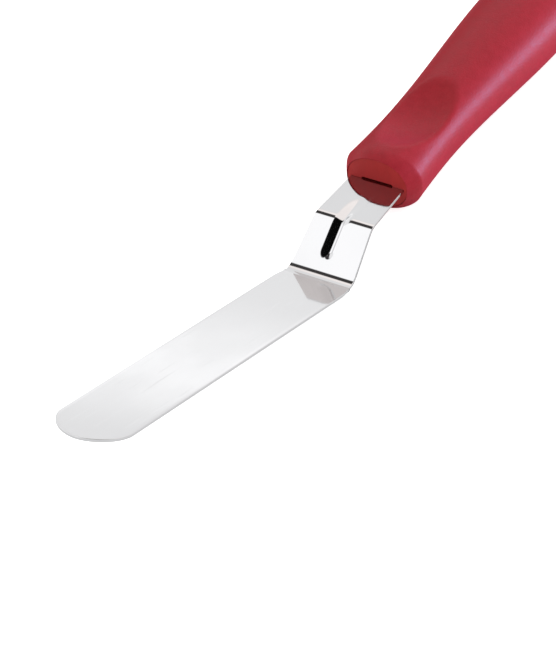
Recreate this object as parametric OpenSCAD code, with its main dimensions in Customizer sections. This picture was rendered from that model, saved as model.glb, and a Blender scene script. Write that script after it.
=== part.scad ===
// Offset spatula with a short cranked blade and a moulded handle.
// Rest position: the heel of the blade and the underside of the handle touch the plane z = 0.
// X runs along the handle towards its butt, Y across the blade, Z up.
// "station" means the distance along the handle, counted from its front face.

/* [Blade] */
// Length of the flat blade, from the heel corner to the tip
blade_l = 111; // [90:1:140]
// Width of the blade
blade_w = 19.5; // [17:0.5:24]
// Width of the strip at the heel
heel_w = 18.2; // [15:0.1:19]
// Length over which the strip widens from the heel to the full blade
flare_l = 7; // [4:0.5:15]
// Length of the rounded tip
tip_l = 9.2; // [7:0.1:12]
// Roundness of the tip: 2 is an ellipse, less is more pointed
tip_power = 1.8; // [1.6:0.1:2.4]
// Thickness of the steel strip
sheet_t = 0.8; // [0.6:0.1:1.2]
// Angle between the blade and the handle axis
blade_tilt = 16; // [8:1:20]

/* [Crank] */
// Length of the riser between the two bend corners
riser_l = 15.7; // [13:0.1:19]
// Angle of the riser below the handle axis
riser_fall = 35.8; // [30:0.2:42]
// Width of the strip at the upper bend
knee_w = 16.4; // [14:0.1:18]
// Length of the tang in view, from the upper bend corner to the handle
tang_show = 17; // [14:0.5:24]
// Radius of the lower bend on the upper face
heel_bend_r = 5.5; // [3:0.1:6.5]
// Radius of the upper bend on the upper face
knee_bend_r = 5; // [2.5:0.1:6]
// Width of the stiffening bead across the upper bend
bead_w = 5.2; // [3.4:0.1:5.4]
// Depth of the stiffening bead
bead_depth = 0.9; // [0.7:0.1:1.2]
// Distance of the bead's middle from the strip's middle, to the left when looking from the tip
bead_side = 0.5; // [-1:0.1:1]
// Length of the bead down the riser, from the upper bend corner to its round end
bead_down = 12.4; // [8:0.1:12.6]
// Length of the bead along the tang, from the upper bend corner to its round end
bead_back = 9; // [7:0.1:11]

/* [Tang] */
// Width of the tang where it enters the handle
entry_w = 15.2; // [13:0.1:15.6]
// Width of the tang inside the handle
tang_w = 11.5; // [9:0.5:12]
// Station where the tang ends
tang_end = 80; // [75:1:85]
// Diameter of the two tang pins
pin_d = 4; // [3:0.1:4.5]
// Clearance of the tang holes round the pins, on the diameter
pin_gap = 0.2; // [0.1:0.05:0.4]
// Station of the front pin
pin_1_at = 46; // [42:1:52]
// Station of the rear pin
pin_2_at = 70; // [62:1:72]

/* [Handle] */
// Length of the handle
handle_l = 116; // [112:1:130]
// Width of the flared mouth, carried on to the front face
mouth_w = 22.6; // [21:0.1:24]
// Width of the neck
neck_w = 20.6; // [19:0.1:22]
// Station of the narrowest width
neck_at = 22; // [18:1:28]
// Width of the belly
belly_w = 26.8; // [24:0.1:30]
// Station of the widest place
belly_at = 86; // [80:1:90]
// Height of the mouth above the tang
mouth_top = 7.7; // [7.5:0.1:9]
// Height of the belly above the tang
belly_top = 10.2; // [9:0.1:12]
// Depth of the mouth below the tang, carried on to the front face
mouth_under = 9.7; // [8.8:0.1:9.7]
// Depth of the finger hollow below the tang
hollow_under = 7.9; // [7.6:0.1:8.6]
// Station of the finger hollow
hollow_at = 28; // [24:1:34]
// Thickness of the soft sleeve round the core
sleeve_wall = 2.5; // [1.8:0.1:2.8]
// Station where the core ends
core_end = 95; // [92:1:97]

/* [Nose plug] */
// Width of the oval plug in the mouth
plug_w = 17.2; // [16.8:0.1:18.4]
// Height of the oval plug
plug_h = 13.8; // [13:0.1:14.4]
// Station of the back of the plug
plug_l = 5.5; // [4.5:0.5:7]
// How far the plug lies behind the rim of the sleeve
plug_sink = 0.2; // [0.1:0.1:0.6]
// Clearance of the slot round the tang
slot_gap = 0.2; // [0.1:0.05:0.3]
// Width of the gap left in the plug over the middle of the tang
relief_w = 8.4; // [6:0.1:10]
// Height of that gap
relief_h = 0.6; // [0.4:0.1:1]

/* [Thumb rest] */
// Station of the middle of the thumb rest
rest_at = 21; // [20:0.5:24]
// Height of the lowest place of the thumb rest above the tang
rest_floor = 5; // [4.8:0.1:6]
// Radius of the thumb rest along the handle
rest_long_r = 36; // [30:1:45]
// Radius of the thumb rest across the handle
rest_cross_r = 38; // [30:1:60]

/* [Hang hole] */
// Diameter of the hole to hang the spatula by
hang_d = 6.5; // [5:0.5:7]
// Wall of the eyelet round the hole
eyelet_wall = 1.5; // [1:0.1:2]
// Station of the hole
hang_at = 104; // [103:0.5:104]
// Width of the flat ledge round the eyelet
ledge_w = 1.2; // [0.8:0.1:1.4]

/* [Hidden] */
$fn = 48;

// Sides of one ring of the handle skin
ring_sides = 40;
// Number of rings in the rounded rim of the mouth, and from the belly to the butt
rim_rings = 6;
tail_rings = 9;
// Squareness of the handle section: 2 is an ellipse
section_power = 2.2;
// How sharply the mouth flares in width and in depth
flare_power_w = 1.7;
flare_power_under = 1.3;
// Length of the rim of the mouth, and how round it is at its sides and at its top and bottom:
// 1 is a straight cone
rim_l = 4.2;
rim_power_side = 1.2;
rim_power_up = 1.8;
// How far the core lies inside the plug's outline where they meet
plug_step = 0.2;
// How blunt the butt is in plan and in side view
butt_power = 3;
butt_root = 0.4;
// How far the flat ledges round the hang hole lie below the skin
ledge_sink = 0.2;
// Radius of the corners of the hidden end of the tang
tang_corner_r = 3;
// Steps along the tip curve, the flare curve and each bend
tip_steps = 20;
flare_steps = 8;
bend_steps = 8;
// How far the pins reach above and below the tang
pin_up = 4.2;
pin_down = 4.6;
// Small overrun that keeps cuts clear of the faces they pass through
over = 1;

// Corners of the upper face of the strip, in the side view, from the front face of the handle at 0
knee_x = -tang_show;
heel_x = knee_x - riser_l * cos(riser_fall);
heel_z = -riser_l * sin(riser_fall);
heel_turn = riser_fall + blade_tilt;
// Flat lengths taken up by each bend on either side of its corner
heel_set = heel_bend_r * tan(heel_turn / 2);
knee_set = knee_bend_r * tan(riser_fall / 2);
// Centre of the lower bend, which lies above the strip
heel_cx = heel_x - heel_set * cos(blade_tilt) + heel_bend_r * sin(blade_tilt);
heel_cz = heel_z + heel_set * sin(blade_tilt) + heel_bend_r * cos(blade_tilt);
// Height of the upper face of the tang above the resting plane
tang_z = heel_bend_r + sheet_t - heel_cz;
// The belly rests on the same plane as the heel
belly_under = tang_z;
// Distance from the middle of the object to the front face of the handle
tip_x = heel_x - blade_l * cos(blade_tilt);
face_x = -(handle_l + tip_x) / 2;
// Radius of the bead's round section, and its centre's height over the strip
bead_r = (bead_w * bead_w / 4 + bead_depth * bead_depth) / (2 * bead_depth);
bead_lift = bead_r - bead_depth;
// Outer diameter of the eyelet
eyelet_d = hang_d + 2 * eyelet_wall;

// Rise from a to b as u goes from 0 to 1, level at both ends
function ease(a, b, u) = a + (b - a) * (0.5 - 0.5 * cos(180 * min(1, max(0, u))));
function spow(v, p) = sign(v) * pow(abs(v), p);

// Fall of the last stretch from the belly to the butt
function tail(t) = pow(1 - pow(max(0, (t - belly_at) / (handle_l - belly_at)), butt_power), butt_root);
// Half width, height above the tang and depth below it at a station
function half_w(t) = t < neck_at
    ? (neck_w + (mouth_w - neck_w) * pow(1 - t / neck_at, flare_power_w)) / 2
    : ease(neck_w, belly_w, (t - neck_at) / (belly_at - neck_at)) / 2 * tail(t);
function top_h(t) = ease(mouth_top, belly_top, (t - rim_l) / (belly_at - rim_l)) * tail(t);
function under_h(t) = t < hollow_at
    ? hollow_under + (mouth_under - hollow_under) * pow(1 - t / hollow_at, flare_power_under)
    : ease(hollow_under, belly_under, (t - hollow_at) / (belly_at - hollow_at)) * tail(t);
// Height of the thumb rest's surface over the tang
function rest_h(t, y) = rest_floor + pow(t - rest_at, 2) / (2 * rest_long_r) + y * y / (2 * rest_cross_r);

// One point of an oval with separate heights above and below its middle line
function oval(a, w, up, down) = [
    w * spow(cos(a), 2 / section_power),
    (sin(a) > 0 ? up : down) * spow(sin(a), 2 / section_power)
];
// One ring of the handle, with the thumb rest pressed into it, set inwards by a wall
function handle_ring(t, w, up, down, wall) = [
    for (k = [0 : ring_sides - 1])
        let (p = oval(360 * k / ring_sides, w, up, down)) [t, p.x, min(p.y, rest_h(t, p.x) - wall)]
];
// One ring of the outer skin
function skin_ring(t) = handle_ring(t, half_w(t), top_h(t), under_h(t), 0);
// One ring of the core, which is smaller than the plug where it meets the plug
function behind_plug(size, t) = size / 2 - plug_step + t - plug_l;
function core_ring(t) = handle_ring(
    t,
    min(half_w(t) - sleeve_wall, behind_plug(plug_w, t)),
    min(top_h(t) - sleeve_wall, behind_plug(plug_h, t)),
    min(under_h(t) - sleeve_wall, behind_plug(plug_h, t)),
    sleeve_wall
);
// One ring of the plug's outline
function plug_ring(t) = [
    for (k = [0 : ring_sides - 1])
        let (p = oval(360 * k / ring_sides, plug_w / 2, plug_h / 2, plug_h / 2)) [t, p.x, p.y]
];
// One ring of the rim, a share u of the way from the plug's outline to the skin
function rim_ring(u) =
    let (
        p = plug_ring(0),
        q = skin_ring(rim_l),
        side = 1 - pow(1 - u, rim_power_side),
        up = 1 - pow(1 - u, rim_power_up)
    ) [
        for (k = [0 : ring_sides - 1])
            [rim_l * u, p[k].y + (q[k].y - p[k].y) * side, p[k].z + (q[k].z - p[k].z) * up]
    ];

// Stations of the skin: even steps to the belly, closer steps round the thumb rest and the butt
inner_stations = [for (t = [plug_l : (core_end - plug_l) / 20 : core_end + 0.01]) t];
outer_stations = concat(
    [for (t = [rim_l + 1.5 : 1.5 : 40]) t],
    [for (t = [43 : (belly_at - 43) / 11 : belly_at + 0.01]) t],
    [for (k = [1 : tail_rings]) belly_at + (handle_l - belly_at) * sin(88 * k / tail_rings)]
);

// Closed skin through a list of rings
module skin(rings) {
    n = len(rings);
    m = ring_sides;
    sides = [
        for (i = [0 : n - 2], k = [0 : m - 1])
            each [
                [i * m + k, i * m + (k + 1) % m, (i + 1) * m + k],
                [i * m + (k + 1) % m, (i + 1) * m + (k + 1) % m, (i + 1) * m + k]
            ]
    ];
    first = [for (k = [0 : m - 1]) m - 1 - k];
    last = [for (k = [0 : m - 1]) (n - 1) * m + k];
    polyhedron(points = [for (r = rings) each r], faces = concat([first], sides, [last]));
}

// Moves from the handle's own place to the resting position
module at_handle() {
    translate([face_x, 0, tang_z]) children();
}

// Points of an arc, from one angle to another
function arc(cx, cy, r, from, to, steps) = [
    for (i = [0 : steps])
        let (a = from + (to - from) * i / steps) [cx + r * cos(a), cy + r * sin(a)]
];

// Line of the strip in the side view, at a distance below its upper face, from past the tip to the tang's end
function strip_line(depth) = concat(
    [[heel_x, heel_z] + blade_l * 1.1 * [-cos(blade_tilt), sin(blade_tilt)] - depth * [sin(blade_tilt), cos(blade_tilt)]],
    arc(heel_cx, heel_cz, heel_bend_r + depth, -90 - blade_tilt, -90 + riser_fall, bend_steps),
    arc(knee_x + knee_set, -knee_bend_r, knee_bend_r - depth, 90 + riser_fall, 90, bend_steps),
    [[tang_end, -depth]]
);

// Half width of the strip in plan, from the tip to the end of the tang
function strip_half() = concat(
    [
        for (i = [tip_steps : -1 : 0])
            let (a = 90 * i / tip_steps)
                [
                    heel_x - cos(blade_tilt) * (blade_l - tip_l * (1 - spow(sin(a), 2 / tip_power))),
                    blade_w / 2 * spow(cos(a), 2 / tip_power)
                ]
    ],
    [
        for (i = [flare_steps : -1 : 0])
            [heel_x - cos(blade_tilt) * flare_l * i / flare_steps, ease(heel_w, blade_w, i / flare_steps) / 2]
    ],
    [[knee_x, knee_w / 2], [0, entry_w / 2], [plug_l, tang_w / 2], [tang_end - tang_corner_r, tang_w / 2]],
    arc(tang_end - tang_corner_r, tang_w / 2 - tang_corner_r, tang_corner_r, 90, 0, 6)
);

// Side view of a stretch of the strip, given its upper and lower lines, made as wide as the blade
module side_slab(upper, lower) {
    rotate([90, 0, 0])
        linear_extrude(height = blade_w + 2 * over, center = true)
            polygon(concat(upper, [for (i = [len(lower) - 1 : -1 : 0]) lower[i]]));
}

// The bent strip, cut to its outline, without bead or holes
module plain_strip() {
    half = strip_half();
    intersection() {
        side_slab(strip_line(0), strip_line(sheet_t));
        translate([0, 0, heel_z - 5])
            linear_extrude(height = blade_l)
                polygon(concat(half, [for (i = [len(half) - 1 : -1 : 1]) [half[i].x, -half[i].y]]));
    }
}

// Round-ended rod, along +X from the origin
module rod(r, l) {
    rotate([0, 90, 0])
        rotate_extrude()
            union() {
                square([r, l]);
                intersection() {
                    translate([0, l])
                        circle(r = r);
                    translate([0, l - r])
                        square([r, 2 * r]);
                }
            }
}

// Two rods that meet over the upper bend and lie along the riser and the tang
module bead_rods(r) {
    set = bead_lift * tan(riser_fall / 2);
    translate([knee_x - set, bead_side, bead_lift]) {
        rod(r, bead_back - bead_w / 2 + set);
        rotate([0, 180 - riser_fall, 0])
            rod(r, bead_down - bead_w / 2 + set);
        sphere(r = r);
    }
}

module blade() {
    reach = bead_depth + 2 * sheet_t;
    color("gainsboro")
        at_handle()
            difference() {
                union() {
                    plain_strip();
                    intersection() {
                        bead_rods(bead_r + sheet_t);
                        side_slab(strip_line(sheet_t / 2), strip_line(reach));
                    }
                }
                bead_rods(bead_r);
                for (t = [pin_1_at, pin_2_at])
                    translate([t, 0, -sheet_t - over])
                        cylinder(d = pin_d + pin_gap, h = sheet_t + 2 * over);
            }
}

module tang_pins() {
    color("silver")
        at_handle()
            for (t = [pin_1_at, pin_2_at])
                translate([t, 0, -pin_down])
                    cylinder(d = pin_d, h = pin_up + pin_down);
}

// The whole core, before it is split and cut for the tang
module core_body() {
    skin([for (t = inner_stations) core_ring(t)]);
}

module pin_holes() {
    for (t = [pin_1_at, pin_2_at])
        translate([t, 0, -pin_down])
            cylinder(d = pin_d, h = pin_up + pin_down);
}

module core_upper() {
    color("firebrick")
        at_handle()
            difference() {
                core_body();
                translate([-over, -belly_w, -2 * belly_w])
                    cube([handle_l, 2 * belly_w, 2 * belly_w]);
                pin_holes();
            }
}

module core_lower() {
    color("brown")
        at_handle()
            difference() {
                core_body();
                translate([-over, -belly_w, 0])
                    cube([handle_l, 2 * belly_w, 2 * belly_w]);
                translate([0, -tang_w / 2, -sheet_t])
                    cube([tang_end, tang_w, sheet_t + over]);
                pin_holes();
            }
}

module nose_plug() {
    color("darkred")
        at_handle()
            difference() {
                translate([plug_sink, 0, 0])
                    rotate([90, 0, 90])
                        linear_extrude(height = plug_l - plug_sink)
                            polygon([for (p = plug_ring(0)) [p.y, p.z]]);
                translate([-over, -entry_w / 2 - slot_gap, -sheet_t - slot_gap])
                    cube([plug_l + 2 * over, entry_w + 2 * slot_gap, sheet_t + 2 * slot_gap]);
                translate([-over, -relief_w / 2, -sheet_t])
                    cube([plug_l + 2 * over, relief_w, sheet_t + relief_h]);
            }
}

// Levels of the flat ledges round the hang hole, above and below the tang
function ledge_top() = top_h(hang_at + eyelet_d / 2 + ledge_w) - ledge_sink;
function ledge_under() = under_h(hang_at + eyelet_d / 2 + ledge_w) - ledge_sink;

module grip_sleeve() {
    back = len(inner_stations) - 1;
    color("crimson")
        at_handle()
            difference() {
                skin(concat(
                    [for (i = [back : -1 : 0]) core_ring(inner_stations[i])],
                    [plug_ring(plug_l)],
                    [for (i = [0 : rim_rings]) rim_ring(i / rim_rings)],
                    [for (t = outer_stations) skin_ring(t)]
                ));
                translate([hang_at, 0, -belly_w])
                    cylinder(d = eyelet_d, h = 2 * belly_w);
                for (side = [-1, 1])
                    translate([hang_at, 0, side > 0 ? ledge_top() : -ledge_under() - belly_w])
                        cylinder(d = eyelet_d + 2 * ledge_w, h = belly_w);
            }
}

module hang_eyelet() {
    color("maroon")
        at_handle()
            translate([hang_at, 0, -ledge_under()])
                difference() {
                    cylinder(d = eyelet_d, h = ledge_top() + ledge_under());
                    translate([0, 0, -over])
                        cylinder(d = hang_d, h = ledge_top() + ledge_under() + 2 * over);
                }
}

blade();
tang_pins();
core_upper();
core_lower();
nose_plug();
grip_sleeve();
hang_eyelet();
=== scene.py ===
"""Offset spatula: smooth meshes, materials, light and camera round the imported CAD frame."""

import math

import bmesh
import bpy
import numpy as np
from mathutils import Matrix, Vector


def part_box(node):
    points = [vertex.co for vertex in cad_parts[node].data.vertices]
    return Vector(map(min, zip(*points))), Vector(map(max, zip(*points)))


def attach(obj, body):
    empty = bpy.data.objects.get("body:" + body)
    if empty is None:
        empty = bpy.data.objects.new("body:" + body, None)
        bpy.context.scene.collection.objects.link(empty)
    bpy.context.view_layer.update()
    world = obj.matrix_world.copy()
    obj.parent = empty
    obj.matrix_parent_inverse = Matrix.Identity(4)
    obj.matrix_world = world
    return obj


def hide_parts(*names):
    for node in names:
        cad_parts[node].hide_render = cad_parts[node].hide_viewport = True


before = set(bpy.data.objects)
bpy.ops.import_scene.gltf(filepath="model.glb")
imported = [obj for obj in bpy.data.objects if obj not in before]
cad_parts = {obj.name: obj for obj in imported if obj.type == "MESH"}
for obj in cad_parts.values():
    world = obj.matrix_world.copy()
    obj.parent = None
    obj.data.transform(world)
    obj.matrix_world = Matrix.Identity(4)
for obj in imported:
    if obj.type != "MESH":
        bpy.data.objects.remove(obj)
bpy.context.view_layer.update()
MM = 0.001

# ---------------------------------------------------------------- sizes in mm, and angles
# The strip of steel
BLADE_L = 111.0
BLADE_W = 19.5
HEEL_W = 18.2
FLARE_L = 7.0
TIP_L = 9.2
TIP_POWER = 1.8
SHEET_T = 0.8
TILT = math.radians(16.0)
RISER_L = 15.7
FALL = math.radians(35.8)
KNEE_W = 16.4
TANG_SHOW = 17.0
HEEL_R = 5.5
KNEE_R = 5.0
BEAD_W = 5.2
BEAD_DEPTH = 0.9
BEAD_SIDE = 0.5
BEAD_END = 1.4
BEAD_DOWN = 12.4
BEAD_BACK = 10.5
BEAD_SHARP = 0.75
ENTRY_W = 15.2
TANG_W = 11.5
TANG_END = 80.0
TANG_CORNER = 3.0
EDGE_R = 0.14

# The handle: a station is the distance from its front face
HANDLE_L = 116.0
MOUTH_W = 22.6
NECK_W = 20.6
NECK_AT = 22.0
BELLY_W = 26.8
BELLY_AT = 86.0
MOUTH_TOP = 7.7
BELLY_TOP = 10.2
MOUTH_UNDER = 9.7
HOLLOW_UNDER = 7.9
HOLLOW_AT = 28.0
SLEEVE_WALL = 2.5
CORE_END = 95.0
RIM_L = 4.2
RIM_POWER_SIDE = 1.2
RIM_POWER_UP = 1.8
SECTION_POWER = 2.2
MOUTH_POWER_SIDE = 1.7
MOUTH_POWER_UNDER = 1.3
BUTT_POWER = 3
BUTT_ROUND = 0.4
RIDGE_SOFT = 0.8
PLUG_W = 17.2
PLUG_H = 13.8
PLUG_L = 5.5
PLUG_SINK = 0.2
PLUG_STEP = 0.2
RELIEF_W = 8.4
RELIEF_H = 0.6
REST_AT = 21.0
REST_FLOOR = 5.0
REST_LONG_R = 36.0
REST_CROSS_R = 38.0
HANG_AT = 104.0
HANG_D = 6.5
EYELET_D = 9.5
LEDGE_W = 1.2
LEDGE_SINK = 0.2

# Gaps between pieces that fit into each other
FIT_GAP = 0.02
SLOT_GAP = 0.05

# Bends of the strip, and the place of the handle's front face and the tang's upper face in the frame
HEEL_TURN = FALL + TILT
HEEL_SET = HEEL_R * math.tan(HEEL_TURN / 2)
KNEE_SET = KNEE_R * math.tan(FALL / 2)
HEEL_X = -TANG_SHOW - RISER_L * math.cos(FALL)
HEEL_Z = -RISER_L * math.sin(FALL)
TANG_Z = SHEET_T + HEEL_R * (1 - math.cos(TILT)) - HEEL_Z - HEEL_SET * math.sin(TILT)
ORIGIN = np.array([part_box("grip_sleeve")[0].x / MM, 0.0, TANG_Z])

# Lengths along the strip's upper face, from the tip: bends, upper corner and the handle's front face
HEEL_S = BLADE_L - HEEL_SET
RISER_S = HEEL_S + HEEL_R * HEEL_TURN
KNEE_S = RISER_S + RISER_L - HEEL_SET - KNEE_SET
TANG_S = KNEE_S + KNEE_R * FALL
CORNER_S = (KNEE_S + TANG_S) / 2
FACE_S = TANG_S + TANG_SHOW - KNEE_SET


# ---------------------------------------------------------------- helpers
def ease(a, b, u):
    """Rise from a to b as u goes from 0 to 1, level at both ends."""
    return a + (b - a) * (0.5 - 0.5 * np.cos(np.pi * np.clip(u, 0.0, 1.0)))


def signed_power(v, p):
    return np.sign(v) * np.abs(v) ** p


def soft_min(a, b, width):
    """The smaller of a and b, rounded over a width where they cross."""
    h = np.clip(0.5 + 0.5 * (b - a) / width, 0.0, 1.0)
    return b * (1 - h) + a * h - width * h * (1 - h)


def link(piece):
    bpy.context.scene.collection.objects.link(piece)
    return piece


def clean_mesh(mesh):
    """Join points that lie on each other, and turn all faces outwards."""
    clean = bmesh.new()
    clean.from_mesh(mesh)
    bmesh.ops.remove_doubles(clean, verts=clean.verts, dist=1e-6)
    bmesh.ops.recalc_face_normals(clean, faces=clean.faces)
    clean.to_mesh(mesh)
    clean.free()


def mesh_object(name, points, faces, sharp=None):
    """A smooth mesh from points in mm, counted from the handle's front face at the tang's upper face."""
    mesh = bpy.data.meshes.new(name)
    mesh.from_pydata(((np.asarray(points) + ORIGIN) * MM).tolist(), [], faces)
    clean_mesh(mesh)
    mesh.shade_smooth()
    if sharp:
        mesh.set_sharp_from_angle(angle=math.radians(sharp))
    return link(bpy.data.objects.new(name, mesh))


def weight_normals(piece):
    """Vertex normals weighted by face area, so that flat faces stay flat next to small rounded edges."""
    mesh = piece.data
    total = np.zeros((len(mesh.vertices), 3))
    for face in mesh.polygons:
        total[list(face.vertices)] += np.array(face.normal) * face.area
    total /= np.maximum(np.linalg.norm(total, axis=1, keepdims=True), 1e-12)
    mesh.normals_split_custom_set_from_vertices(total.tolist())


def ring_faces(rows, sides):
    """Quads between rings that all have the same number of sides."""
    i, k = np.meshgrid(np.arange(rows - 1), np.arange(sides), indexing="ij")
    a = i * sides + k
    b = i * sides + (k + 1) % sides
    return np.stack([a, b, b + sides, a + sides], -1).reshape(-1, 4).tolist()


def lathe(name, profile, steps=96):
    """Closed profile of (radius, height) turned round the hang hole's axis, with heights from the tang."""
    a = 2 * np.pi * np.arange(steps) / steps
    rings = [[[HANG_AT + r * math.cos(t), r * math.sin(t), h] for r, h in profile] for t in a]
    n = len(profile)
    faces = ring_faces(steps, n)
    last = (steps - 1) * n
    faces += [[last + k, last + (k + 1) % n, (k + 1) % n, k] for k in range(n)]
    return mesh_object(name, np.array(rings).reshape(-1, 3), faces, sharp=40)


def add_piece(piece, node, material):
    """Let a piece stand for a CAD node, and give it its finish."""
    piece.data.materials.clear()
    piece.data.materials.append(material)
    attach(piece, "root")
    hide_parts(node)


# ---------------------------------------------------------------- the blade
def strip_frame(s):
    """Place and direction angle of the strip's upper face at a length s from the tip, in the side view."""
    stretches = [
        (HEEL_S, 0.0),
        (RISER_S - HEEL_S, 1 / HEEL_R),
        (KNEE_S - RISER_S, 0.0),
        (TANG_S - KNEE_S, -1 / KNEE_R),
        (FACE_S + TANG_END - TANG_S, 0.0),
    ]
    x = np.full_like(s, HEEL_X - BLADE_L * math.cos(TILT))
    z = np.full_like(s, HEEL_Z + BLADE_L * math.sin(TILT))
    angle = np.full_like(s, -TILT)
    start = 0.0
    for length, turn in stretches:
        run = np.clip(s - start, 0.0, length)
        if turn:
            x = x + (np.sin(angle + run * turn) - np.sin(angle)) / turn
            z = z - (np.cos(angle + run * turn) - np.cos(angle)) / turn
            angle = angle + run * turn
        else:
            x = x + run * np.cos(angle)
            z = z + run * np.sin(angle)
        start += length
    return x, z, angle


def bead_drop(s, y):
    """Depth of the pressed bead at a place on the strip: a groove with a long round end.

    It runs up the riser, and fades out along the tang.
    """
    half = BEAD_W / 2
    past_end = np.minimum(s - (CORNER_S - BEAD_DOWN + BEAD_END * half), 0.0) / BEAD_END
    u = np.clip(np.hypot(past_end, y - BEAD_SIDE) / half, 0.0, 1.0)
    depth = ease(BEAD_DEPTH, 0.0, (s - CORNER_S) / BEAD_BACK)
    return depth * (0.5 + 0.5 * np.cos(np.pi * u ** BEAD_SHARP))


def strip_outline():
    """Half outline of the strip as (length from the tip, half width), from the tip to the tang's end."""
    a = np.linspace(np.pi / 2, 0.0, 40)
    p = 2 / TIP_POWER
    tip = np.stack([TIP_L * (1 - signed_power(np.sin(a), p)), BLADE_W / 2 * signed_power(np.cos(a), p)], 1)
    flare_s = BLADE_L - FLARE_L
    blade_s = np.linspace(TIP_L + 2, flare_s - 1, 12)
    blade = np.stack([blade_s, np.full_like(blade_s, BLADE_W / 2)], 1)
    u = np.linspace(0, 0.78, 14)
    flare = np.stack([flare_s + FLARE_L * u, ease(BLADE_W, HEEL_W, u) / 2], 1)
    crank_s = np.concatenate([
        [HEEL_S - 0.05],
        np.linspace(HEEL_S, RISER_S, 26),
        np.linspace(RISER_S + 0.05, KNEE_S - 0.05, 80),
        np.linspace(KNEE_S, TANG_S, 26),
        np.linspace(TANG_S + 0.05, CORNER_S + BEAD_BACK + 1.0, 60),
        np.linspace(CORNER_S + BEAD_BACK + 1.5, FACE_S - 0.2, 8),
    ])
    crank_w = np.interp(crank_s, [BLADE_L, CORNER_S, FACE_S], [HEEL_W, KNEE_W, ENTRY_W])
    crank = np.stack([crank_s, crank_w / 2], 1)
    end_s = FACE_S + TANG_END - TANG_CORNER
    hidden = [[FACE_S, ENTRY_W / 2], [FACE_S + PLUG_L, TANG_W / 2], [end_s, TANG_W / 2]]
    b = np.linspace(0.0, np.pi / 2, 10)[1:]
    end = np.stack([end_s + TANG_CORNER * np.sin(b), TANG_W / 2 - TANG_CORNER * (1 - np.cos(b))], 1)
    return np.concatenate([tip, blade, flare, crank, hidden, end])


def strip_ring(s, w, out_s, out_y):
    """One ring round the strip: (length, y, depth under the upper face), with its long edges rounded.

    The points lie close together over the bead, which takes up a share of the half width.
    """
    share = 0.34
    coarse = np.linspace(share, 1, 7)[1:]
    fine = np.linspace(-share, share, 61)
    across = np.concatenate([-coarse[::-1], fine, coarse])
    turn = np.linspace(0.0, np.pi / 2, 5)
    edge = []
    for side_depth, sweep in ((0.0, turn[1:]), (SHEET_T, turn[::-1])):
        for a in sweep:
            reach = EDGE_R * (1 - math.sin(a))
            rise = EDGE_R * (1 - math.cos(a))
            edge.append([s - out_s * reach, max(w - out_y * reach, 0.0), abs(side_depth - rise)])
    edge = np.array(edge)
    flat_s = s - out_s * EDGE_R
    flat_w = max(w - out_y * EDGE_R, 0.0)
    top = np.stack([np.full_like(across, flat_s), across * flat_w, np.zeros_like(across)], 1)
    under = top[::-1] * [1, 1, 0] + [0, 0, SHEET_T]
    return np.concatenate([top, edge, under[1:], edge[::-1][1:] * [1, -1, 1]])


def make_blade():
    half = strip_outline()
    whole = np.concatenate([half[::-1] * [1, -1], half[1:]])
    along = np.gradient(whole, axis=0)
    along /= np.linalg.norm(along, axis=1, keepdims=True)
    outward = np.stack([-along[:, 1], along[:, 0]], 1)[len(half) - 1:]
    outward[0] = [-1.0, 0.0]
    rings = np.array([strip_ring(s, w, *out) for (s, w), out in zip(half, outward)])
    sides = rings.shape[1]
    flat = rings.reshape(-1, 3)
    x, z, angle = strip_frame(flat[:, 0])
    depth = flat[:, 2] + bead_drop(flat[:, 0], flat[:, 1])
    points = np.stack([x + np.sin(angle) * depth, flat[:, 1], z - np.cos(angle) * depth], 1)
    faces = ring_faces(len(rings), sides)
    faces.append(list(range((len(rings) - 1) * sides, len(rings) * sides)))
    blade = mesh_object("blade_polished", points, faces)
    weight_normals(blade)
    return blade


# ---------------------------------------------------------------- the handle
SIDES = 176
AROUND = 2 * np.pi * np.arange(SIDES) / SIDES


def tail(t):
    """Fall of the last stretch from the belly to the butt."""
    u = np.clip((t - BELLY_AT) / (HANDLE_L - BELLY_AT), 0.0, 1.0)
    return (1 - u ** BUTT_POWER) ** BUTT_ROUND


def half_width(t):
    if t < NECK_AT:
        return (NECK_W + (MOUTH_W - NECK_W) * (1 - t / NECK_AT) ** MOUTH_POWER_SIDE) / 2
    return ease(NECK_W, BELLY_W, (t - NECK_AT) / (BELLY_AT - NECK_AT)) / 2 * tail(t)


def top_height(t):
    return ease(MOUTH_TOP, BELLY_TOP, (t - RIM_L) / (BELLY_AT - RIM_L)) * tail(t)


def under_depth(t):
    if t < HOLLOW_AT:
        return HOLLOW_UNDER + (MOUTH_UNDER - HOLLOW_UNDER) * (1 - t / HOLLOW_AT) ** MOUTH_POWER_UNDER
    return ease(HOLLOW_UNDER, TANG_Z, (t - HOLLOW_AT) / (BELLY_AT - HOLLOW_AT)) * tail(t)


def oval(w, up, down, around=AROUND):
    """Points of an oval with separate heights above and below its middle line."""
    y = w * signed_power(np.cos(around), 2 / SECTION_POWER)
    z = np.where(np.sin(around) > 0, up, down) * signed_power(np.sin(around), 2 / SECTION_POWER)
    return y, z


def handle_ring(t, w, up, down, wall):
    """One ring of the handle, with the thumb rest pressed into it and its ridge rounded."""
    y, z = oval(w, up, down)
    rest = REST_FLOOR + (t - REST_AT) ** 2 / (2 * REST_LONG_R) + y * y / (2 * REST_CROSS_R) - wall
    z = np.where(z > 0, soft_min(z, rest, RIDGE_SOFT), z)
    return np.stack([np.full(SIDES, t), y, z], 1)


def skin_ring(t):
    return handle_ring(t, half_width(t), top_height(t), under_depth(t), 0.0)


def core_ring(t):
    room = t - PLUG_L - PLUG_STEP
    return handle_ring(
        t,
        min(half_width(t) - SLEEVE_WALL, PLUG_W / 2 + room),
        min(top_height(t) - SLEEVE_WALL, PLUG_H / 2 + room),
        min(under_depth(t) - SLEEVE_WALL, PLUG_H / 2 + room),
        SLEEVE_WALL,
    )


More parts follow.
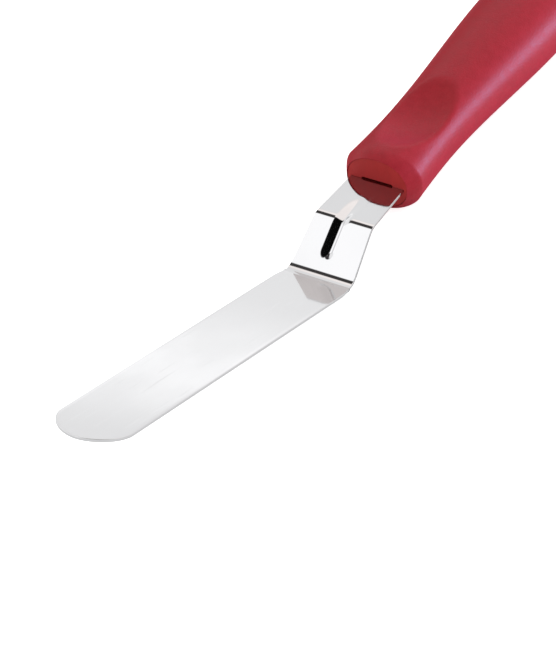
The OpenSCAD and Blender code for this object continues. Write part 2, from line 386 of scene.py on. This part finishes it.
def plug_ring(t, grow=0.0):
    y, z = oval(PLUG_W / 2 + grow, PLUG_H / 2 + grow, PLUG_H / 2 + grow)
    return np.stack([np.full(SIDES, t), y, z], 1)


def rim_ring(u):
    """One ring of the rim, a share u of the way from the plug's outline to the skin."""
    p = plug_ring(0.0, 0.12)
    q = skin_ring(RIM_L)
    share = np.array([0.0, 1 - (1 - u) ** RIM_POWER_SIDE, 1 - (1 - u) ** RIM_POWER_UP])
    ring = p + (q - p) * share
    ring[:, 0] = RIM_L * u
    return ring


def ledge_levels():
    """Heights of the flat ledges round the hang hole, above and below the tang."""
    t = HANG_AT + EYELET_D / 2 + LEDGE_W
    return top_height(t) - LEDGE_SINK, -(under_depth(t) - LEDGE_SINK)


def cut_hang_hole(sleeve):
    """Cut the hang hole and its two ledges, with rounded inner corners and sloping sides."""
    top, under = ledge_levels()
    r = EYELET_D / 2 + FIT_GAP
    wide = EYELET_D / 2 + LEDGE_W
    far = BELLY_W
    soft = 0.35
    a = np.linspace(0, np.pi / 2, 6)
    upper = [[r, top]]
    upper += [[wide - soft + soft * math.sin(b), top + soft * (1 - math.cos(b))] for b in a]
    # The sides lean out a little above the ledge, and flare where they leave the skin.
    upper += [[wide + 0.12, top + 1.6], [wide + 3.0, top + 5.0], [wide + 3.0, far]]
    lower = [[p, under - (q - top)] for p, q in upper]
    profile = lower[::-1] + upper + [[0.0, far], [0.0, -far]]
    cutter = lathe("hang_cutter", profile)
    cut = sleeve.modifiers.new("hang_hole", "BOOLEAN")
    cut.operation = "DIFFERENCE"
    cut.solver = "EXACT"
    cut.object = cutter
    ready = bpy.data.meshes.new_from_object(sleeve.evaluated_get(bpy.context.evaluated_depsgraph_get()))
    sleeve.modifiers.clear()
    sleeve.data = ready
    bpy.data.objects.remove(cutter)
    ready.shade_smooth()
    ready.set_sharp_from_angle(angle=math.radians(32))


def make_sleeve():
    rings = [core_ring(t) for t in np.linspace(CORE_END, PLUG_L, 40)]
    # The plug's hole opens a little at the front, so that a thin dark line shows round the plug.
    opening = [(PLUG_L, FIT_GAP), (0.2, FIT_GAP), (0.06, 0.04), (0.01, 0.08)]
    rings += [plug_ring(t, grow) for t, grow in opening]
    rings += [rim_ring(u) for u in np.linspace(0, 1, 15)]
    stations = np.concatenate([
        np.arange(RIM_L + 0.4, 42, 0.5),
        np.arange(42, BELLY_AT, 1.0),
        BELLY_AT + (HANDLE_L - BELLY_AT) * np.sin(np.radians(np.linspace(0, 89.2, 44))),
    ])
    rings += [skin_ring(t) for t in stations]
    faces = ring_faces(len(rings), SIDES)
    faces.append(list(range(SIDES)))
    faces.append(list(range((len(rings) - 1) * SIDES, len(rings) * SIDES)))
    sleeve = mesh_object("grip_soft", np.array(rings).reshape(-1, 3), faces)
    cut_hang_hole(sleeve)
    return sleeve


# ---------------------------------------------------------------- the nose plug and the eyelet
def add_loop(curve, points):
    spline = curve.splines.new("POLY")
    spline.points.add(len(points) - 1)
    for place, (y, z) in zip(spline.points, points):
        place.co = (y, z, 0.0, 1.0)
    spline.use_cyclic_u = True


def make_plug():
    """The oval plug with the slot for the tang, and a wider gap over the tang's middle."""
    curve = bpy.data.curves.new("nose_plug_outline", "CURVE")
    curve.dimensions = "2D"
    curve.fill_mode = "BOTH"
    bevel = 0.1
    length = PLUG_L - PLUG_SINK
    inset = FIT_GAP + bevel
    y, z = oval(PLUG_W / 2 - inset, PLUG_H / 2 - inset, PLUG_H / 2 - inset, AROUND[::2])
    add_loop(curve, np.stack([y, z], 1))
    half = ENTRY_W / 2 + SLOT_GAP + bevel / 2
    floor = -SHEET_T - SLOT_GAP - bevel / 2
    roof = SLOT_GAP + bevel / 2
    gap = RELIEF_W / 2
    slope = 0.4
    add_loop(curve, [
        (-half, floor),
        (half, floor),
        (half, roof),
        (gap + slope, roof),
        (gap, RELIEF_H),
        (-gap, RELIEF_H),
        (-gap - slope, roof),
        (-half, roof),
    ])
    curve.extrude = length / 2 - bevel
    curve.bevel_depth = bevel
    curve.bevel_resolution = 3
    holder = link(bpy.data.objects.new("nose_plug_outline", curve))
    mesh = bpy.data.meshes.new_from_object(holder.evaluated_get(bpy.context.evaluated_depsgraph_get()))
    bpy.data.objects.remove(holder)
    # The curve lies in its own X and Y; they become the frame's Y and Z, and its thickness lies along X.
    stand_up = Matrix(((0, 0, 1, 0), (1, 0, 0, 0), (0, 1, 0, 0), (0, 0, 0, 1)))
    middle = Matrix.Translation((PLUG_SINK + length / 2, 0.0, 0.0))
    place = Matrix.Translation(Vector(ORIGIN * MM)) @ Matrix.Scale(MM, 4) @ middle @ stand_up
    mesh.transform(place)
    clean_mesh(mesh)
    mesh.shade_smooth()
    mesh.set_sharp_from_angle(angle=math.radians(35))
    return link(bpy.data.objects.new("plug_moulded", mesh))


def make_eyelet():
    """The hard lining of the hang hole, with rounded lips."""
    top, under = ledge_levels()
    inner = HANG_D / 2
    outer = EYELET_D / 2
    lip = (outer - inner) / 2
    a = np.linspace(0, np.pi, 15)
    profile = [[inner + lip - lip * math.cos(b), top - lip * 0.9 + lip * 0.9 * math.sin(b)] for b in a]
    profile += [[outer - lip + lip * math.cos(b), under + lip * 0.9 - lip * 0.9 * math.sin(b)] for b in a]
    return lathe("eyelet_moulded", profile)


# ---------------------------------------------------------------- materials
class Nodes:
    """A material's node tree, with short calls to add and join nodes."""

    def __init__(self, tree):
        self.tree = tree

    def add(self, kind, **values):
        node = self.tree.nodes.new(kind)
        for name, value in values.items():
            if hasattr(node, name):
                setattr(node, name, value)
            else:
                node.inputs[name.replace("_", " ")].default_value = value
        return node

    def join(self, out, into):
        self.tree.links.new(out, into)

    def math(self, operation, a, b=None):
        node = self.add("ShaderNodeMath", operation=operation)
        for socket, value in zip(node.inputs, (a, b)):
            if value is None:
                continue
            if isinstance(value, (int, float)):
                socket.default_value = value
            else:
                self.join(value, socket)
        return node.outputs[0]

    def smooth(self, value, low, high, out_low=0.0, out_high=1.0):
        """The value, carried smoothly from low..high to out_low..out_high."""
        node = self.add("ShaderNodeMapRange", interpolation_type="SMOOTHSTEP")
        ends = {"From Min": low, "From Max": high, "To Min": out_low, "To Max": out_high}
        for name, number in ends.items():
            node.inputs[name].default_value = number
        self.join(value, node.inputs["Value"])
        return node.outputs[0]

    def places(self, scale):
        """Object coordinates in metres, stretched by a scale on each axis."""
        stretch = self.add("ShaderNodeMapping")
        stretch.inputs["Scale"].default_value = scale
        self.join(self.add("ShaderNodeTexCoord").outputs["Object"], stretch.inputs["Vector"])
        return stretch.outputs[0]

    def noise(self, scale, detail=2.0, roughness=0.5):
        node = self.add("ShaderNodeTexNoise", Scale=1.0, Detail=detail, Roughness=roughness)
        self.join(self.places(scale), node.inputs["Vector"])
        return node.outputs[0]

    def mix(self, share, a, b):
        node = self.add("ShaderNodeMix", data_type="RGBA")
        self.join(share, node.inputs[0])
        for socket, colour in ((node.inputs[6], a), (node.inputs[7], b)):
            if isinstance(colour, tuple):
                socket.default_value = (*colour, 1.0)
            else:
                self.join(colour, socket)
        return node.outputs[2]

    def bump(self, height, distance, strength=1.0, normal=None):
        node = self.add("ShaderNodeBump", Strength=strength, Distance=distance)
        self.join(height, node.inputs["Height"])
        if normal is not None:
            self.join(normal, node.inputs["Normal"])
        return node.outputs[0]


def material(name):
    """A new material: its nodes, and its Principled shader."""
    made = bpy.data.materials.new(name)
    made.use_nodes = True
    return made, Nodes(made.node_tree), made.node_tree.nodes["Principled BSDF"].inputs


def steel(name, tone, roughness):
    """Polished stainless strip: fine lengthwise grain, faint clouding and a few hairline scratches."""
    made, n, shader = material(name)
    grain = n.noise((14.0, 5200.0, 14.0), 3.0, 0.6)
    hairs = n.smooth(n.noise((60.0, 1500.0, 60.0), 1.0, 0.4), 0.66, 0.74)
    cloud = n.noise((38.0, 60.0, 38.0), 3.0, 0.55)
    shader["Metallic"].default_value = 1.0
    clouded = n.smooth(cloud, 0.3, 0.7, roughness * 0.75, roughness * 1.3)
    n.join(n.math("ADD", clouded, n.math("MULTIPLY", hairs, 0.05)), shader["Roughness"])
    dull = tuple(c * 0.975 for c in tone)
    n.join(n.mix(n.smooth(cloud, 0.35, 0.75), tone, dull), shader["Base Color"])
    lines = n.math("ADD", grain, n.math("MULTIPLY", hairs, -0.6))
    n.join(n.bump(lines, 1.2e-6), shader["Normal"])
    return made


def soft_grip():
    """Soft-touch red rubber: fine moulded grain, a little mottling, and less gloss when seen aslant."""
    made, n, shader = material("soft_grip")
    deep, bright = (0.27, 0.0102, 0.0168), (0.305, 0.0125, 0.02)
    mottle = n.noise((420.0, 420.0, 420.0), 5.0, 0.65)
    n.join(n.mix(n.smooth(mottle, 0.3, 0.7), deep, bright), shader["Base Color"])
    grain = n.noise((2300.0, 2300.0, 2300.0), 2.0, 0.6)
    patches = n.noise((420.0, 420.0, 420.0), 2.0, 0.5)
    slant = n.smooth(n.add("ShaderNodeLayerWeight", Blend=0.5).outputs["Facing"], 0.4, 0.75, 0.0, 0.45)
    n.join(n.math("ADD", n.smooth(patches, 0.3, 0.7, 0.42, 0.47), slant), shader["Roughness"])
    shader["Specular IOR Level"].default_value = 0.12
    shader["Sheen Weight"].default_value = 0.06
    shader["Sheen Roughness"].default_value = 0.35
    shader["Sheen Tint"].default_value = (1.0, 0.55, 0.75, 1.0)
    wave = n.bump(n.noise((95.0, 95.0, 95.0), 1.0), 1.0e-5)
    n.join(n.bump(grain, 6.0e-5, 1.0, wave), shader["Normal"])
    return made


def hard_plastic(name, colour, roughness, grain_size=900.0):
    """Moulded hard plastic: shallow texture with faint flow marks in the colour."""
    made, n, shader = material(name)
    flow = n.noise((130.0, 420.0, 130.0), 3.0, 0.6)
    darker = tuple(c * 0.86 for c in colour)
    n.join(n.mix(n.smooth(flow, 0.3, 0.7), darker, colour), shader["Base Color"])
    n.join(n.smooth(flow, 0.25, 0.75, roughness * 0.9, roughness * 1.12), shader["Roughness"])
    shader["Specular IOR Level"].default_value = 0.15
    n.join(n.bump(n.noise((grain_size, grain_size, grain_size), 3.0, 0.6), 1.5e-5), shader["Normal"])
    return made


# ---------------------------------------------------------------- put the object together
STEEL_TONE = (0.545, 0.545, 0.553)
PIN_TONE = (0.55, 0.55, 0.54)
PLUG_RED = (0.375, 0.0225, 0.0225)
EYELET_RED = (0.2, 0.008, 0.012)
CORE_RED = (0.24, 0.012, 0.018)

add_piece(make_blade(), "blade", steel("polished_steel", STEEL_TONE, 0.06))
sleeve = make_sleeve()
plug = make_plug()
add_piece(sleeve, "grip_sleeve", soft_grip())
add_piece(plug, "nose_plug", hard_plastic("plug_plastic", PLUG_RED, 0.5))
add_piece(make_eyelet(), "hang_eyelet", hard_plastic("eyelet_plastic", EYELET_RED, 0.4))

core_finish = hard_plastic("core_plastic", CORE_RED, 0.55, 500.0)
pin_finish = steel("turned_steel", PIN_TONE, 0.25)
for name, finish in (("core_upper", core_finish), ("core_lower", core_finish), ("tang_pins", pin_finish)):
    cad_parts[name].data.materials.clear()
    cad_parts[name].data.materials.append(finish)


# ---------------------------------------------------------------- stage, light and camera
def make_floor():
    made, n, shader = material("floor_paper")
    tooth = n.noise((900.0, 900.0, 900.0), 2.0)
    n.join(n.mix(tooth, (0.90, 0.90, 0.90), (0.93, 0.93, 0.93)), shader["Base Color"])
    shader["Roughness"].default_value = 0.9
    shader["Specular IOR Level"].default_value = 0.1
    shader["Emission Color"].default_value = (1.0, 1.0, 1.0, 1.0)
    seen = n.add("ShaderNodeLightPath").outputs["Is Camera Ray"]
    n.join(n.math("MULTIPLY", n.math("ADD", seen, 0.3), 0.6), shader["Emission Strength"])
    mesh = bpy.data.meshes.new("floor")
    half = 3.0
    corners = [(-half, -half, 0), (half, -half, 0), (half, half, 0), (-half, half, 0)]
    mesh.from_pydata(corners, [], [(0, 1, 2, 3)])
    mesh.materials.append(made)
    link(bpy.data.objects.new("floor", mesh))


def make_world():
    """White studio: graded soft light, and bright panels all round with dark gaps overhead in reflections.

    Directions are those of the frame: x runs from the blade's tip to the handle's butt, and z up.
    """
    world = bpy.data.worlds.new("studio")
    bpy.context.scene.world = world
    world.use_nodes = True
    n = Nodes(world.node_tree)
    towards = n.add("ShaderNodeSeparateXYZ")
    n.join(n.add("ShaderNodeTexCoord").outputs["Generated"], towards.inputs[0])
    x, y, z = towards.outputs
    left = n.math("MULTIPLY", n.smooth(x, 0.06, 0.14, 1.0, 0.0), n.smooth(y, 0.08, 0.20))
    far = n.smooth(y, 0.62, 0.78, 0.0, 0.8)
    near = n.smooth(y, -0.72, -0.56, 0.7, 0.0)
    behind = n.smooth(x, -0.62, -0.5, 0.75, 0.0)
    shifted = n.math("ADD", x, n.smooth(y, 0.2, 0.38, 0.16, 0.0))
    right = n.smooth(shifted, 0.36, 0.44)
    # Steps in brightness with height. The blade mirrors the lower two, near its heel and near its tip.
    for band in ((0.1855, 0.1935, 0.74, 0.95), (0.212, 0.224, 1.0, 0.76), (0.66, 0.76, 1.0, 1.26)):
        right = n.math("MULTIPLY", right, n.smooth(z, *band))
    brightest = left
    for panel in (far, near, behind, right):
        brightest = n.math("MAXIMUM", brightest, panel)
    panels = n.math("MULTIPLY", brightest, PANEL_LIGHT)
    seen = n.math("ADD", panels, n.smooth(y, -0.1, 0.3, 0.004, 0.07))
    is_glossy = n.add("ShaderNodeLightPath").outputs["Is Glossy Ray"]
    soft = n.smooth(y, -0.6, 0.9, SOFT_LIGHT * 0.9, SOFT_LIGHT * 1.25)
    not_glossy = n.math("SUBTRACT", 1.0, is_glossy)
    level = n.math("ADD", n.math("MULTIPLY", is_glossy, seen), n.math("MULTIPLY", not_glossy, soft))
    backdrop = world.node_tree.nodes["Background"].inputs
    overhead = n.math("MULTIPLY", n.smooth(x, 0.05, 0.25), n.smooth(z, 0.64, 0.74))
    n.join(n.mix(n.math("MULTIPLY", overhead, is_glossy), (1.0, 1.0, 1.0), WARM), backdrop["Color"])
    n.join(level, backdrop["Strength"])


def add_panel(name, direction, distance, size, power, aim, lit):
    """An area light at a direction and distance from the aim, turned to face it, for the pieces it lights."""
    light = bpy.data.lights.new(name, "AREA")
    light.shape = "RECTANGLE"
    light.size, light.size_y = size
    light.energy = power
    light.color = KEY_TINT
    lamp = link(bpy.data.objects.new(name, light))
    out = Vector(direction).normalized()
    lamp.location = aim + out * distance
    lamp.rotation_euler = out.to_track_quat("Z", "Y").to_euler()
    lamp.light_linking.receiver_collection = bpy.data.collections.new(name + "_lights")
    for piece in lit:
        lamp.light_linking.receiver_collection.objects.link(piece)


def make_camera():
    """Long lens, looking down along the blade from its right side."""
    azimuth, elevation, roll = (math.radians(v) for v in (-56.63, 38.76, -4.72))
    aim = Vector((-0.0406, 0.0, -0.00024))
    distance = 0.7866
    data = bpy.data.cameras.new("camera")
    data.sensor_fit = "HORIZONTAL"
    data.sensor_width = 36.0
    data.lens = 207.6
    camera = link(bpy.data.objects.new("camera", data))
    level = Vector((math.cos(azimuth), math.sin(azimuth), 0.0))
    back = Vector((level.y * math.cos(elevation), -level.x * math.cos(elevation), math.sin(elevation)))
    turned = Matrix((level, back.cross(level), back)).transposed() @ Matrix.Rotation(roll, 3, "Z")
    camera.matrix_world = Matrix.Translation(aim + distance * back) @ turned.to_4x4()
    bpy.context.scene.camera = camera


PANEL_LIGHT = 1.7
SOFT_LIGHT = 0.98
KEY_FROM = (0.652, -0.738, 0.174)
KEY_AWAY = 0.9
KEY_SIZE = (0.38, 0.29)
KEY_POWER = 14.5
KEY_TINT = (0.54, 0.62, 1.0)
WARM = (1.0, 0.94, 0.91)
handle_middle = (Vector(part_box("grip_sleeve")[0]) + Vector(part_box("grip_sleeve")[1])) / 2
make_floor()
make_world()
add_panel("key", KEY_FROM, KEY_AWAY, KEY_SIZE, KEY_POWER, handle_middle, [sleeve, plug])
make_camera()
bpy.context.scene.view_settings.view_transform = "Standard"
